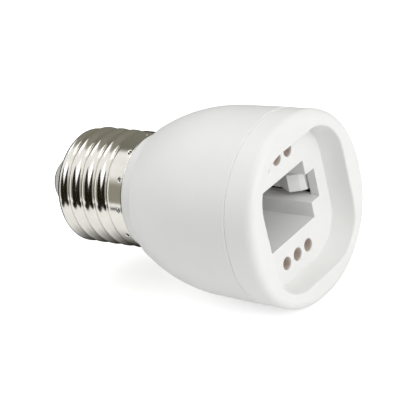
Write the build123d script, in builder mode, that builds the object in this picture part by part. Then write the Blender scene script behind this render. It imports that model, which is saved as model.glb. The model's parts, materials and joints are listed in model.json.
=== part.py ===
# Lamp adapter: a 27 mm screw cap on one end and a keyed two-row pin socket on the other.
# Millimetres. X is the lamp axis, with the socket mouth facing +X. The origin is the centre of
# the seat, the floor of the lamp pocket. Y runs through the two keyways, and Z across the pin rows.
import os
from math import atan, cos, hypot, pi, radians, sin, sqrt, tan

from build123d import *

os.makedirs("parts", exist_ok=True)

# Clearances
fit_gap = 0.1           # between moulded pieces that plug together
running_gap = 0.05      # radial, where a latch turns on its pin
shell_gap = 0.05        # between the metal shell and what it is staked on

# Lamp pocket and rim
pocket_depth = 6.1
pocket_half_y = 15.65
pocket_half_z = 16.35
pocket_corner_r = 10.2
pocket_draft = 0.33     # how much the pocket narrows on each side from mouth to floor
mouth_edge_r = 0.4      # where the rim turns into the pocket
rim_land = 5.1          # width of the rim beside the pocket, at its narrowest
rim_flat = 1.25         # half the straight stretch on each side of the rim
rim_edge_r = 2.0
rim_flare = 0.05        # the rim's reach beyond the cap's back
cap_back_flat = 0.4     # half the straight stretch left on each side of the nearly round back
cap_step = 0.25         # the bell's reach beyond the cap's back
parting_depth = 1.15    # from the seat back to the joint between cap and bell
parting_edge_r = 0.3
floor_thickness = 2.2

# Pin holes
pin_row_z = 11.7
pin_pitch = 4.2
pin_hole_r = 1.5
pin_lip = 0.4           # plastic left in front of each brass collar

# Keyed opening for the lamp's post
key_half_y = 8.5
key_half_z = 7.0
keyway_half_y = 11.77
keyway_half_z = 3.45
sleeve_wall = 1.2
sleeve_length = 13.5

# Cap spigot and bosses
spigot_wall = 1.5
spigot_length = 8.0
boss_angle = 36.0       # degrees from Y
boss_gap = 0.83         # from the spigot's bore
boss_r = 2.1
screw_r = 1.1

# Bell
bell_wall = 1.8
barrel_draft = 2.4      # degrees
flank_blend_r = 38.0
blend_share = 0.75      # the most of the flank's length that its blend may take
barrel_end_x = -21.4    # where the barrel line and the flank line would meet
shoulder_x = -31.5
shoulder_height = 2.65  # from the neck up to the end of the flank
shoulder_r = 1.2
neck_step = 0.13        # from the shell's skirt down to the neck
neck_wall = 2.2
staked_length = 2.6     # bell neck inside the shell's skirt

# Screw shell
skirt_x = -35.65
shell_r = 13.13         # skirt and thread crests
shell_wall = 0.35
thread_pitch = 3.629
groove_depth = 1.0
groove_r = 1.35
thread_first_x = -53.0
thread_last_x = -39.4
thread_start_angle = -18.0
taper_start_x = -53.0
shell_end_x = -55.9
shell_end_r = 10.6
dimple_count = 12
dimple_r = 0.55
dimple_angle = 112.0
dimple_inset = 0.9      # from the skirt's edge

# Insulator and centre contact
insulator_back_x = -51.8
insulator_face_x = -61.2
insulator_face_r = 5.5
mouth_gap = 0.25        # between the insulator's cone and the shell's open end
contact_r = 4.7
contact_thickness = 1.3
contact_dome = 0.4
rivet_r = 1.95
rivet_bore_r = 1.15
rivet_flare_r = 2.9
rivet_flare_thickness = 0.4
solder_height = 0.45
solder_pad_r = 1.3
solder_pad_edge_r = 0.43

# Contact carrier
carrier_x = -20.5       # front face of the carrier's plate
carrier_inset = 0.95    # from the spigot's bore
carrier_thickness = 2.2
block_half_y = 8.2
block_inner_z = 8.5
block_outer_z = 15.2
block_wall = 1.0
spring_post_length = 11.3
spring_post_thickness = 1.1
spring_post_half_z = 2.5
guard_gap = 0.5         # from the spigot's bore
guard_thickness = 1.0
guard_half_z = 6.5
guard_end_gap = 0.3     # from the back of the cap's floor

# Brass contact strips
strip_thickness = 0.4
strip_half_y = 7.7
strip_inner_z = 9.7
web_half_y = 6.6
collar_r = 1.9
collar_gap = 0.05
tail_half_y = 2.4
tail_length = 4.2       # behind the carrier's plate
leaf_half_y = 1.4
leaf_root_x = -13.5
leaf_tip_x = -5.0
leaf_slot_gap = 0.25

# Latch fingers
latch_pivot_x = -17.8
latch_pivot_y = 12.7
latch_pin_r = 0.8
latch_root_r = 1.6
latch_half_z = 2.15
latch_face_y = 11.8
latch_back_y = 13.6
latch_head_x = -2.85
latch_head_y = 11.5
latch_bend_x = -3.85
latch_bend_y = 10.65
latch_ridge_x = -6.1
latch_ridge_y = 9.4
latch_slope_x = -9.9
latch_slope_y = 11.35
latch_edge_r = 0.25     # along both sides of the finger's nose
latch_nose_inset = 0.4  # the chamfer behind the finger's nose
ear_thickness = 1.9
ear_r = 1.7
ear_gap = 0.25

# Latch springs
spring_x = -11.0
spring_coil_r = 1.35
spring_wire_r = 0.2
spring_turns = 3.5
spring_length = 2.9
peg_r = 0.9
peg_length = 1.0

# Leads
wire_r = 0.9
tag_wall = 0.5
tag_half_x = 1.9
tag_setback = 0.6       # from the carrier's back face
barrel_r = 1.5
barrel_length = 4.0
bend_share = 0.45       # of the shorter run beside a bend
lead_drop = 1.4         # from the shell's inner wall to the neutral lead's axis
neutral_end_x = -43.0

# Carrier screws
screw_head_r = 1.9
screw_head_height = 1.2
screw_reach = 8.0       # into each boss
screw_end_gap = 0.6
screw_slot_width = 0.5

# Sizes that follow from those above
rim_x = pocket_depth
rim_half_width = pocket_half_z + rim_land
rim_corner_r = rim_half_width - rim_flat
cap_back_r = rim_half_width - rim_flare
bell_mouth_r = cap_back_r + cap_step
parting_x = -parting_depth
floor_back_x = -floor_thickness
sleeve_end_x = floor_back_x - sleeve_length
spigot_r = bell_mouth_r - bell_wall - fit_gap
spigot_bore_r = spigot_r - spigot_wall
spigot_end_x = parting_x - spigot_length
guard_r = spigot_bore_r - guard_gap
carrier_r = spigot_bore_r - carrier_inset
neck_r = shell_r - neck_step
neck_bore_r = neck_r - neck_wall
carrier_back_x = carrier_x - carrier_thickness
strip_back_x = floor_back_x - strip_thickness
staked_end_x = skirt_x - staked_length
staked_r = shell_r - shell_wall - shell_gap
pin_columns = [-pin_pitch, 0, pin_pitch]
boss_ring_r = spigot_bore_r - boss_gap - boss_r
boss_y = boss_ring_r * cos(radians(boss_angle))
boss_z = boss_ring_r * sin(radians(boss_angle))
boss_places = [(boss_y, -boss_z), (-boss_y, boss_z)]
tail_end_x = carrier_back_x - tail_length
web_z = block_outer_z - block_wall - strip_thickness / 2
tag_x = carrier_back_x - tag_setback - tag_half_x


# Front cap: round where it meets the bell and slightly square at the rim
with BuildPart() as front_cap:
    with BuildSketch(Plane.YZ.offset(parting_x)):
        RectangleRounded(2 * cap_back_r, 2 * cap_back_r, cap_back_r - cap_back_flat)
    with BuildSketch(Plane.YZ.offset(rim_x)):
        RectangleRounded(2 * rim_half_width, 2 * rim_half_width, rim_corner_r)
    loft()
    fillet(front_cap.edges().group_by(Axis.X)[-1], rim_edge_r)
    fillet(front_cap.edges().group_by(Axis.X)[0], parting_edge_r)
    # Spigot that plugs into the bell, and the floor's back
    with BuildSketch(Plane.YZ.offset(parting_x)):
        Circle(spigot_r)
    extrude(amount=-spigot_length)
    with BuildSketch(Plane.YZ.offset(floor_back_x)):
        Circle(spigot_bore_r)
    extrude(amount=spigot_end_x - floor_back_x, mode=Mode.SUBTRACT)
    # Lamp pocket, with a little draft
    with BuildSketch(Plane.YZ):
        RectangleRounded(
            2 * (pocket_half_y - pocket_draft),
            2 * (pocket_half_z - pocket_draft),
            pocket_corner_r - pocket_draft,
        )
    with BuildSketch(Plane.YZ.offset(rim_x)):
        RectangleRounded(2 * pocket_half_y, 2 * pocket_half_z, pocket_corner_r)
    loft(mode=Mode.SUBTRACT)
    fillet(front_cap.edges(Select.LAST).group_by(Axis.X)[-1], mouth_edge_r)
    # Sleeve behind the keyed opening
    with BuildSketch(Plane.YZ.offset(floor_back_x)):
        Rectangle(2 * (key_half_y + sleeve_wall), 2 * (key_half_z + sleeve_wall))
        Rectangle(2 * (keyway_half_y + sleeve_wall), 2 * (keyway_half_z + sleeve_wall))
    extrude(amount=-sleeve_length)
    # Bosses for the carrier screws
    with BuildSketch(Plane.YZ.offset(floor_back_x)):
        with Locations(*boss_places):
            Circle(boss_r)
    extrude(amount=carrier_x - floor_back_x)
    with BuildSketch(Plane.YZ.offset(carrier_x)):
        with Locations(*boss_places):
            Circle(screw_r)
    extrude(amount=screw_reach, mode=Mode.SUBTRACT)
    # Keyed opening, through the floor and the sleeve
    with BuildSketch(Plane.YZ):
        Rectangle(2 * key_half_y, 2 * key_half_z)
        Rectangle(2 * keyway_half_y, 2 * keyway_half_z)
    extrude(amount=sleeve_end_x, mode=Mode.SUBTRACT)
    # The sleeve's keyway ends are open behind the floor, where the latches reach in
    with BuildSketch(Plane.YZ.offset(floor_back_x)):
        Rectangle(2 * (keyway_half_y + 2 * sleeve_wall), 2 * keyway_half_z)
    extrude(amount=-sleeve_length, mode=Mode.SUBTRACT)
    # Pin holes, each with a counterbore for a brass collar
    with BuildSketch(Plane.YZ):
        with Locations(*[(y, side * pin_row_z) for side in (-1, 1) for y in pin_columns]):
            Circle(pin_hole_r)
    extrude(amount=floor_back_x, mode=Mode.SUBTRACT)
    with BuildSketch(Plane.YZ.offset(-pin_lip)):
        with Locations(*[(y, side * pin_row_z) for side in (-1, 1) for y in pin_columns]):
            Circle(collar_r + collar_gap)
    extrude(amount=floor_back_x + pin_lip, mode=Mode.SUBTRACT)
front_cap.part.label = "front_cap"
export_step(front_cap.part, "parts/front_cap.step")


# Bell: the barrel and the flank are straight lines joined by one long arc
barrel_end_r = bell_mouth_r - (parting_x - barrel_end_x) * tan(radians(barrel_draft))
shoulder_top_r = neck_r + shoulder_height
flank_slope = (barrel_end_r - shoulder_top_r) / (barrel_end_x - shoulder_x)
flank_wall_r = bell_wall * hypot(1, flank_slope)
flank_length = (barrel_end_x - shoulder_x) * hypot(1, flank_slope)
flank_turn = atan(flank_slope) - radians(barrel_draft)
blend_r = min(flank_blend_r, blend_share * flank_length / tan(flank_turn / 2))
with BuildPart() as body_housing:
    with BuildSketch(Plane.XY) as bell_section:
        with BuildLine():
            barrel_corner = (barrel_end_x, barrel_end_r)
            shoulder_corner = (shoulder_x, shoulder_top_r)
            FilletPolyline(
                (parting_x, bell_mouth_r),
                barrel_corner,
                shoulder_corner,
                (shoulder_x, neck_r),
                radius=[blend_r, shoulder_r],
            )
            Polyline(
                (shoulder_x, neck_r),
                (skirt_x, neck_r),
                (skirt_x, staked_r),
                (staked_end_x, staked_r),
                (staked_end_x, neck_bore_r),
                (shoulder_x, neck_bore_r),
            )
            FilletPolyline(
                (shoulder_x, neck_bore_r),
                (shoulder_x + bell_wall, neck_bore_r),
                (shoulder_x + bell_wall, shoulder_top_r + bell_wall * flank_slope - flank_wall_r),
                (barrel_end_x, barrel_end_r - bell_wall),
                (parting_x, bell_mouth_r - bell_wall),
                radius=[shoulder_r, shoulder_r, blend_r - bell_wall],
            )
            Line((parting_x, bell_mouth_r - bell_wall), (parting_x, bell_mouth_r))
        make_face()
    revolve(axis=Axis.X)
    fillet(body_housing.edges().group_by(Axis.X)[-1].sort_by(SortBy.RADIUS)[-1], parting_edge_r)
    # Straight bore for the cap's spigot
    with BuildSketch(Plane.YZ.offset(parting_x)):
        Circle(spigot_r + fit_gap)
    extrude(amount=-spigot_length - fit_gap, mode=Mode.SUBTRACT)
body_housing.part.label = "body_housing"
export_step(body_housing.part, "parts/body_housing.step")


# Screw shell: one round groove wound along the thread, and the same groove one wall larger inside
def thread_groove(section_r, run_on):
    """A round bar wound along the thread, which cuts one face of the rolled groove.

    run_on is how far it goes past each end of the thread, measured around the shell.
    """
    run_on_turn = run_on / (2 * pi * shell_r)
    run_on_x = run_on_turn * thread_pitch
    with BuildPart() as groove:
        with BuildLine() as winding:
            Helix(
                thread_pitch,
                thread_last_x - thread_first_x + 2 * run_on_x,
                shell_r - groove_depth + groove_r,
                center=(thread_first_x - run_on_x, 0, 0),
                direction=(1, 0, 0),
            )
        with BuildSketch(Plane(origin=winding.line @ 0, z_dir=winding.line % 0)):
            Circle(section_r)
        sweep(path=winding.line, is_frenet=True)
    return groove.part.rotate(Axis.X, thread_start_angle - 360 * run_on_turn)


def shell_form(inset):
    """The shell's outline, set in by inset, as a solid of revolution with the thread cut in it."""
    with BuildPart() as form:
        with BuildSketch(Plane.XY):
            with BuildLine():
                Polyline(
                    (skirt_x, 0),
                    (skirt_x, shell_r - inset),
                    (taper_start_x, shell_r - inset),
                    (shell_end_x, shell_end_r - inset),
                    (shell_end_x, 0),
                    (skirt_x, 0),
                )
            make_face()
        revolve(axis=Axis.X)
        add(thread_groove(groove_r + inset, inset), mode=Mode.SUBTRACT)
    return form.part


with BuildPart() as screw_shell:
    add(shell_form(0))
    add(shell_form(shell_wall), mode=Mode.SUBTRACT)
    # Staked dimples that lock the skirt to the neck
    with Locations(Location((skirt_x - dimple_inset, 0, 0), (0, 90, 0))):
        with PolarLocations(shell_r + dimple_r / 2, dimple_count, dimple_angle):
            Sphere(dimple_r, mode=Mode.SUBTRACT)
screw_shell.part.label = "screw_shell"
export_step(screw_shell.part, "parts/screw_shell.step")


# Insulator: a plug inside the shell's end, and a cone outside it
taper_slope = (shell_r - shell_end_r) / (taper_start_x - shell_end_x)
groove_floor_r = shell_r - groove_depth - shell_wall
plug_r = groove_floor_r - shell_gap
insulator_mouth_r = shell_end_r - shell_wall - mouth_gap
plug_edge_x = taper_start_x - (shell_r - shell_wall - plug_r) / taper_slope + shell_gap
with BuildPart() as cap_insulator:
    with BuildSketch(Plane.XY):
        with BuildLine():
            Polyline(
                (insulator_back_x, rivet_r),
                (insulator_back_x, plug_r),
                (plug_edge_x, plug_r),
                (shell_end_x, insulator_mouth_r),
                (insulator_face_x, insulator_face_r),
                (insulator_face_x, rivet_r),
                (insulator_back_x, rivet_r),
            )
        make_face()
    revolve(axis=Axis.X)
cap_insulator.part.label = "cap_insulator"
export_step(cap_insulator.part, "parts/cap_insulator.step")


# Centre contact: a domed disc with a hollow rivet that is flared over the insulator's back
contact_face_x = insulator_face_x - contact_thickness
with BuildPart() as centre_contact:
    with BuildSketch(Plane.XY):
        with BuildLine():
            Polyline(
                (contact_face_x, rivet_bore_r),
                (insulator_back_x + rivet_flare_thickness, rivet_bore_r),
                (insulator_back_x + rivet_flare_thickness, rivet_flare_r),
                (insulator_back_x, rivet_flare_r),
                (insulator_back_x, rivet_r),
                (insulator_face_x, rivet_r),
                (insulator_face_x, contact_r),
                (contact_face_x + contact_dome, contact_r),
            )
            ThreePointArc(
                (contact_face_x + contact_dome, contact_r),
                (contact_face_x + contact_dome / 4, (contact_r + rivet_bore_r) / 2),
                (contact_face_x, rivet_bore_r),
            )
        make_face()
    revolve(axis=Axis.X)
centre_contact.part.label = "centre_contact"
export_step(centre_contact.part, "parts/centre_contact.step")


# Solder that fills the rivet's mouth and stands up in a low round dome
dome_sphere_r = (solder_height**2 + rivet_bore_r**2) / (2 * solder_height)
dome_shoulder_r = sqrt(dome_sphere_r**2 - (dome_sphere_r - solder_height / 2) ** 2)
with BuildPart() as centre_solder:
    with BuildSketch(Plane.XY):
        with BuildLine():
            ThreePointArc(
                (contact_face_x - solder_height, 0),
                (contact_face_x - solder_height / 2, dome_shoulder_r),
                (contact_face_x, rivet_bore_r),
            )
            Polyline(
                (contact_face_x, rivet_bore_r),
                (contact_face_x + contact_thickness, rivet_bore_r),
                (contact_face_x + contact_thickness, 0),
                (contact_face_x - solder_height, 0),
            )
        make_face()
    revolve(axis=Axis.X)
centre_solder.part.label = "centre_solder"
export_step(centre_solder.part, "parts/centre_solder.step")


# Contact carrier: a plate with two contact boxes, ears for the latch pins and posts for the springs
box_length = carrier_x - strip_back_x
ear_inner_z = latch_half_z + ear_gap
spring_seat_y = latch_back_y + running_gap + spring_length
with BuildPart() as contact_carrier:
    with BuildSketch(Plane.YZ.offset(carrier_x)):
        Circle(carrier_r)
    extrude(amount=-carrier_thickness)
    # Boxes, open at the front, that clamp the strips against the floor of the cap
    with BuildSketch(Plane.YZ.offset(carrier_x)):
        with Locations(*[(0, side * (block_inner_z + block_outer_z) / 2) for side in (-1, 1)]):
            Rectangle(2 * block_half_y, block_outer_z - block_inner_z)
            Rectangle(
                2 * (block_half_y - block_wall),
                block_outer_z - block_inner_z - 2 * block_wall,
                mode=Mode.SUBTRACT,
            )
    extrude(amount=-box_length)
    # Slots for the strips' tails
    with BuildSketch(Plane.YZ.offset(carrier_x)):
        with Locations(*[(0, side * web_z) for side in (-1, 1)]):
            Rectangle(2 * (tail_half_y + fit_gap), strip_thickness + 2 * fit_gap)
    extrude(amount=-carrier_thickness, mode=Mode.SUBTRACT)
    # Ears either side of each latch root
    with BuildSketch(Plane.XY.offset(ear_inner_z)) as ear_outline:
        with Locations(*[(latch_pivot_x, side * latch_pivot_y) for side in (-1, 1)]):
            Circle(ear_r)
        with Locations(*[((latch_pivot_x + carrier_x) / 2, side * latch_pivot_y) for side in (-1, 1)]):
            Rectangle(latch_pivot_x - carrier_x, 2 * ear_r)
        with Locations(*[(latch_pivot_x, side * latch_pivot_y) for side in (-1, 1)]):
            Circle(latch_pin_r, mode=Mode.SUBTRACT)
    extrude(amount=ear_thickness)
    mirror(about=Plane.XY)
    # Curved guards behind the latches, up to the back of the cap's floor
    with BuildSketch(Plane.YZ.offset(carrier_x)):
        Circle(guard_r)
        Circle(guard_r - guard_thickness, mode=Mode.SUBTRACT)
        Rectangle(2 * guard_r, 2 * guard_half_z, mode=Mode.INTERSECT)
    extrude(amount=floor_back_x - guard_end_gap - carrier_x)
    # Posts and pegs for the springs
    with BuildSketch(Plane.YZ.offset(carrier_x)):
        with Locations(*[(side * (spring_seat_y + spring_post_thickness / 2), 0) for side in (-1, 1)]):
            Rectangle(spring_post_thickness, 2 * spring_post_half_z)
    extrude(amount=spring_post_length)
    with BuildSketch(Plane.XZ.offset(-spring_seat_y)):
        with Locations((spring_x, 0)):
            Circle(peg_r)
    extrude(amount=peg_length)
    with BuildSketch(Plane.XZ.offset(spring_seat_y)):
        with Locations((spring_x, 0)):
            Circle(peg_r)
    extrude(amount=-peg_length)
    # Screw holes
    with BuildSketch(Plane.YZ.offset(carrier_x)):
        with Locations(*boss_places):
            Circle(screw_r + fit_gap)
    extrude(amount=-carrier_thickness, mode=Mode.SUBTRACT)
contact_carrier.part.label = "contact_carrier"
export_step(contact_carrier.part, "parts/contact_carrier.step")


# Brass strip behind one row of pins: a clamped flange with drawn collars, a web with three cut
# leaves that bear on the lamp's pins, and a tail that passes through the carrier's plate
leaf_touch_z = pin_row_z + pin_hole_r + collar_gap + strip_thickness / 2
leaf_bend_x = (leaf_root_x + 2 * leaf_tip_x) / 3
with BuildPart() as contact_strip_upper:
    with BuildSketch(Plane.YZ.offset(floor_back_x)):
        with Locations((0, (strip_inner_z + web_z + strip_thickness / 2) / 2)):
            Rectangle(2 * strip_half_y, web_z + strip_thickness / 2 - strip_inner_z)
    extrude(amount=-strip_thickness)
    with BuildSketch(Plane.YZ.offset(strip_back_x)):
        with Locations(*[(y, pin_row_z) for y in pin_columns]):
            Circle(collar_r)
    extrude(amount=strip_thickness + floor_thickness - pin_lip - collar_gap)
    with BuildSketch(Plane.YZ.offset(strip_back_x)):
        with Locations(*[(y, pin_row_z) for y in pin_columns]):
            Circle(pin_hole_r)
    extrude(amount=floor_thickness + strip_thickness, mode=Mode.SUBTRACT)
    with BuildSketch(Plane.XY.offset(web_z - strip_thickness / 2)):
        with Locations(((strip_back_x + carrier_x) / 2, 0)):
            Rectangle(strip_back_x - carrier_x, 2 * web_half_y)
        with Locations(((carrier_x + tail_end_x) / 2, 0)):
            Rectangle(carrier_x - tail_end_x, 2 * tail_half_y)
        with Locations(*[((leaf_root_x + leaf_tip_x) / 2, y) for y in pin_columns]):
            Rectangle(
                leaf_tip_x - leaf_root_x + 2 * leaf_slot_gap,
                2 * (leaf_half_y + leaf_slot_gap),
                mode=Mode.SUBTRACT,
            )
    extrude(amount=strip_thickness)
    for y in pin_columns:
        with BuildSketch(Plane.XZ.offset(-y)):
            with BuildLine():
                Polyline(
                    (leaf_root_x - 2 * leaf_slot_gap, web_z),
                    (leaf_bend_x, leaf_touch_z),
                    (leaf_tip_x, web_z),
                )
            trace(line_width=strip_thickness)
        extrude(amount=leaf_half_y, both=True)
contact_strip_upper.part.label = "contact_strip_upper"
export_step(contact_strip_upper.part, "parts/contact_strip_upper.step")

with BuildPart() as contact_strip_lower:
    add(contact_strip_upper.part.rotate(Axis.X, 180))
contact_strip_lower.part.label = "contact_strip_lower"
export_step(contact_strip_lower.part, "parts/contact_strip_lower.step")


# Latch finger: a hooked nose that shows in the keyway, on a root that turns on its pin
with BuildPart() as latch_far:
    with BuildSketch(Plane.XY.offset(-latch_half_z)):
        with BuildLine():
            Polyline(
                (latch_pivot_x, latch_face_y),
                (latch_slope_x, latch_slope_y),
                (latch_ridge_x, latch_ridge_y),
                (latch_bend_x, latch_bend_y),
                (latch_head_x, latch_head_y),
                (latch_head_x, latch_back_y - latch_nose_inset),
                (latch_head_x - latch_nose_inset, latch_back_y),
                (latch_pivot_x, latch_back_y),
                (latch_pivot_x, latch_face_y),
            )
        make_face()
        with Locations((latch_pivot_x, latch_pivot_y)):
            Circle(latch_root_r)
            Circle(latch_pin_r + running_gap, mode=Mode.SUBTRACT)
    extrude(amount=2 * latch_half_z)
    # The nose has soft edges where it shows
    nose_edges = latch_far.edges().filter_by(
        lambda edge: edge.length > latch_edge_r
        and abs(abs(edge.center().Z) - latch_half_z) < latch_edge_r / 2
        and edge.center().X > latch_slope_x
        and edge.center().Y < latch_face_y
    )
    fillet(nose_edges, latch_edge_r)
latch_far.part.label = "latch_far"
export_step(latch_far.part, "parts/latch_far.step")

with BuildPart() as latch_near:
    add(latch_far.part.rotate(Axis.X, 180))
latch_near.part.label = "latch_near"
export_step(latch_near.part, "parts/latch_near.step")


# Pin that the latch turns on, held in the carrier's ears
with BuildPart() as latch_pin_far:
    with BuildSketch(Plane.XY.offset(-ear_inner_z - ear_thickness)):
        with Locations((latch_pivot_x, latch_pivot_y)):
            Circle(latch_pin_r)
    extrude(amount=2 * (ear_inner_z + ear_thickness))
latch_pin_far.part.label = "latch_pin_far"
export_step(latch_pin_far.part, "parts/latch_pin_far.step")

with BuildPart() as latch_pin_near:
    add(latch_pin_far.part.rotate(Axis.X, 180))
latch_pin_near.part.label = "latch_pin_near"
export_step(latch_pin_near.part, "parts/latch_pin_near.step")


# Coil spring that pushes the finger in, seated over the carrier's peg
with BuildPart() as latch_spring_far:
    with BuildLine() as coil:
        Helix(
            (spring_length - 2 * spring_wire_r) / spring_turns,
            spring_length - 2 * spring_wire_r,
            spring_coil_r,
            center=(spring_x, latch_back_y + running_gap + spring_wire_r, 0),
            direction=(0, 1, 0),
        )
    with BuildSketch(Plane(origin=coil.line @ 0, z_dir=coil.line % 0)):
        Circle(spring_wire_r)
    sweep(path=coil.line, is_frenet=True)
latch_spring_far.part.label = "latch_spring_far"
export_step(latch_spring_far.part, "parts/latch_spring_far.step")

with BuildPart() as latch_spring_near:
    add(latch_spring_far.part.rotate(Axis.X, 180))
latch_spring_near.part.label = "latch_spring_near"
export_step(latch_spring_near.part, "parts/latch_spring_near.step")


# Flag terminal: a flat receptacle on the strip's tail, with its crimp barrel turned to the axis
receptacle_top_z = web_z + strip_thickness / 2 + tag_wall
receptacle_bottom_z = web_z - strip_thickness / 2 - tag_wall
with BuildPart() as neutral_tag:
    with BuildSketch(Plane.YZ.offset(tag_x - tag_half_x)):
        with Locations((0, web_z)):
            Rectangle(2 * (tail_half_y + tag_wall), receptacle_top_z - receptacle_bottom_z)
            Rectangle(2 * tail_half_y, strip_thickness, mode=Mode.SUBTRACT)
    extrude(amount=2 * tag_half_x)
    with BuildSketch(Plane.XY.offset(receptacle_bottom_z)):
        with Locations((tag_x, 0)):
            Circle(barrel_r)
            Circle(wire_r, mode=Mode.SUBTRACT)
    extrude(amount=-barrel_length)
neutral_tag.part.label = "neutral_tag"
export_step(neutral_tag.part, "parts/neutral_tag.step")

with BuildPart() as live_tag:
    add(neutral_tag.part.rotate(Axis.X, 180))
live_tag.part.label = "live_tag"
export_step(live_tag.part, "parts/live_tag.step")


# Leads: straight runs joined by arcs that are as large as the runs allow
def bend_radii(points):
    """One radius for each corner: a share of its shorter run over the tangent of half its turn."""
    places = [Vector(*point) for point in points]
    radii = []
    for before, corner, after in zip(places, places[1:], places[2:]):
        turn = (corner - before).get_angle(after - corner)
        shorter = min((corner - before).length, (after - corner).length)
        radii.append(bend_share * shorter / tan(radians(turn / 2)))
    return radii


wire_start_z = receptacle_bottom_z
solder_root_x = contact_face_x + contact_thickness
live_route = [
    (tag_x, 0, -wire_start_z),
    (tag_x, 0, -5.5),
    (-33.0, 0, -0.8),
    (-44.0, 0, 0),
    (solder_root_x, 0, 0),
]
with BuildPart() as live_wire:
    with BuildLine() as live_path:
        FilletPolyline(*live_route, radius=bend_radii(live_route))
    with BuildSketch(Plane(origin=live_path.wire() @ 0, z_dir=live_path.wire() % 0)):
        Circle(wire_r)
    sweep(path=live_path.wire())
live_wire.part.label = "live_wire"
export_step(live_wire.part, "parts/live_wire.step")

neutral_end_z = groove_floor_r - lead_drop
neutral_route = [
    (tag_x, 0, wire_start_z),
    (tag_x, 0, 7.4),
    (-28.2, 0, 4.8),
    (-34.8, 0, 5.0),
    (neutral_end_x, 0, neutral_end_z),
]
with BuildPart() as neutral_wire:
    with BuildLine() as neutral_path:
        FilletPolyline(*neutral_route, radius=bend_radii(neutral_route))
    with BuildSketch(Plane(origin=neutral_path.wire() @ 0, z_dir=neutral_path.wire() % 0)):
        Circle(wire_r)
    sweep(path=neutral_path.wire())
neutral_wire.part.label = "neutral_wire"
export_step(neutral_wire.part, "parts/neutral_wire.step")


# Solder that joins the neutral lead's end to the shell's inner wall
with BuildPart() as shell_solder:
    with BuildSketch(Plane.XY.offset(neutral_end_z - wire_r)):
        with Locations((neutral_end_x - solder_pad_r - wire_r / 2, 0)):
            Circle(solder_pad_r)
    extrude(amount=groove_floor_r - shell_gap - neutral_end_z + wire_r)
    fillet(shell_solder.edges().group_by(Axis.Z)[0], solder_pad_edge_r)
shell_solder.part.label = "shell_solder"
export_step(shell_solder.part, "parts/shell_solder.step")


# Two slotted pan-head screws, driven from behind through the plate into the cap's bosses
with BuildPart() as carrier_screws:
    with BuildSketch(Plane.YZ.offset(carrier_back_x)):
        with Locations(*boss_places):
            Circle(screw_head_r)
    extrude(amount=-screw_head_height)
    fillet(carrier_screws.edges().group_by(Axis.X)[0], screw_head_height / 2)
    with BuildSketch(Plane.YZ.offset(carrier_back_x - screw_head_height)):
        with Locations(*boss_places):
            Rectangle(2 * screw_head_r, screw_slot_width)
    extrude(amount=screw_head_height / 2, mode=Mode.SUBTRACT)
    with BuildSketch(Plane.YZ.offset(carrier_back_x)):
        with Locations(*boss_places):
            Circle(screw_r)
    extrude(amount=carrier_thickness + screw_reach - screw_end_gap)
carrier_screws.part.label = "carrier_screws"
export_step(carrier_screws.part, "parts/carrier_screws.step")
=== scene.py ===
# Looks of the lamp adapter: the rolled screw shell, the springs and the solder as meshes, a finish
# for every piece, and the studio. Metres, in the same frame as the solids: X is the lamp axis with
# the socket mouth facing +X, and the origin is the centre of the seat.
import json
import math

import bpy
from bpy.props import FloatProperty, FloatVectorProperty, IntProperty, PointerProperty
from mathutils import Matrix, Vector, noise


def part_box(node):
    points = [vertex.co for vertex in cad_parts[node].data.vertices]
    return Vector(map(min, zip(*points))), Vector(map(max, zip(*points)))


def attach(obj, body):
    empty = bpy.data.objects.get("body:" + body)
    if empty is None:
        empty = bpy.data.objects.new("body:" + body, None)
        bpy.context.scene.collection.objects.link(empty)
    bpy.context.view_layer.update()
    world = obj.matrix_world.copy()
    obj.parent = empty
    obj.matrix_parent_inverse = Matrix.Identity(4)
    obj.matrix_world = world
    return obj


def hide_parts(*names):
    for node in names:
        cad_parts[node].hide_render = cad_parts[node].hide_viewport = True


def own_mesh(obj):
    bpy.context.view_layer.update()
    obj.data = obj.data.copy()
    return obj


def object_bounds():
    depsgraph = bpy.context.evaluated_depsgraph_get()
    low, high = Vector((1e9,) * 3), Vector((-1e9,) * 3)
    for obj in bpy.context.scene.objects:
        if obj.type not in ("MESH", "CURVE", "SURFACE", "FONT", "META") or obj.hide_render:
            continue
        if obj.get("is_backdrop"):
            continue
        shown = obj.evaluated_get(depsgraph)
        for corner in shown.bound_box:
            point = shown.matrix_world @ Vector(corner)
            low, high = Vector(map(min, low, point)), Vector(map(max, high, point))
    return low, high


bl_info = {
    "name": "Lamp Adapter Looks",
    "version": (1, 0, 0),
    "blender": (4, 5, 0),
    "location": "3D View > Sidebar > Lamp Adapter",
    "description": "Dresses the lamp adapter's solids and sets up its studio",
    "category": "Object",
}

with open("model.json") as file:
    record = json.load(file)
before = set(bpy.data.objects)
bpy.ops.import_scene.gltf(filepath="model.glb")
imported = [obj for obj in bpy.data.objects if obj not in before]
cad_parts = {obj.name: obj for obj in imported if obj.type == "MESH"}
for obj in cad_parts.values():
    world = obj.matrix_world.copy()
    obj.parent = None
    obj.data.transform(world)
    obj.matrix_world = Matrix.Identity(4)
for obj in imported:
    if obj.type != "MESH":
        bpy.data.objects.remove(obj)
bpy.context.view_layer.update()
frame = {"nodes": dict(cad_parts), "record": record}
record = frame["record"]
body_of_node = {
    node: body for body, nodes in record["behaviour"]["bodies"].items() for node in nodes
}
shell_low, shell_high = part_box("screw_shell")

MM = 0.001
WHITE = (1.0, 1.0, 1.0, 1.0)

# Azimuths and elevations, in degrees, of the upper edges of the cards along the horizon
FRONT_SKYLINE = (
    (-112, 34), (-101, 58), (-84, 62), (-68, 57), (-54, 47), (-44, 36), (-36, 22), (-30, 8),
    (-27, 0),
)
LEFT_SKYLINE = ((-147, 38), (-106, 38))


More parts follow.
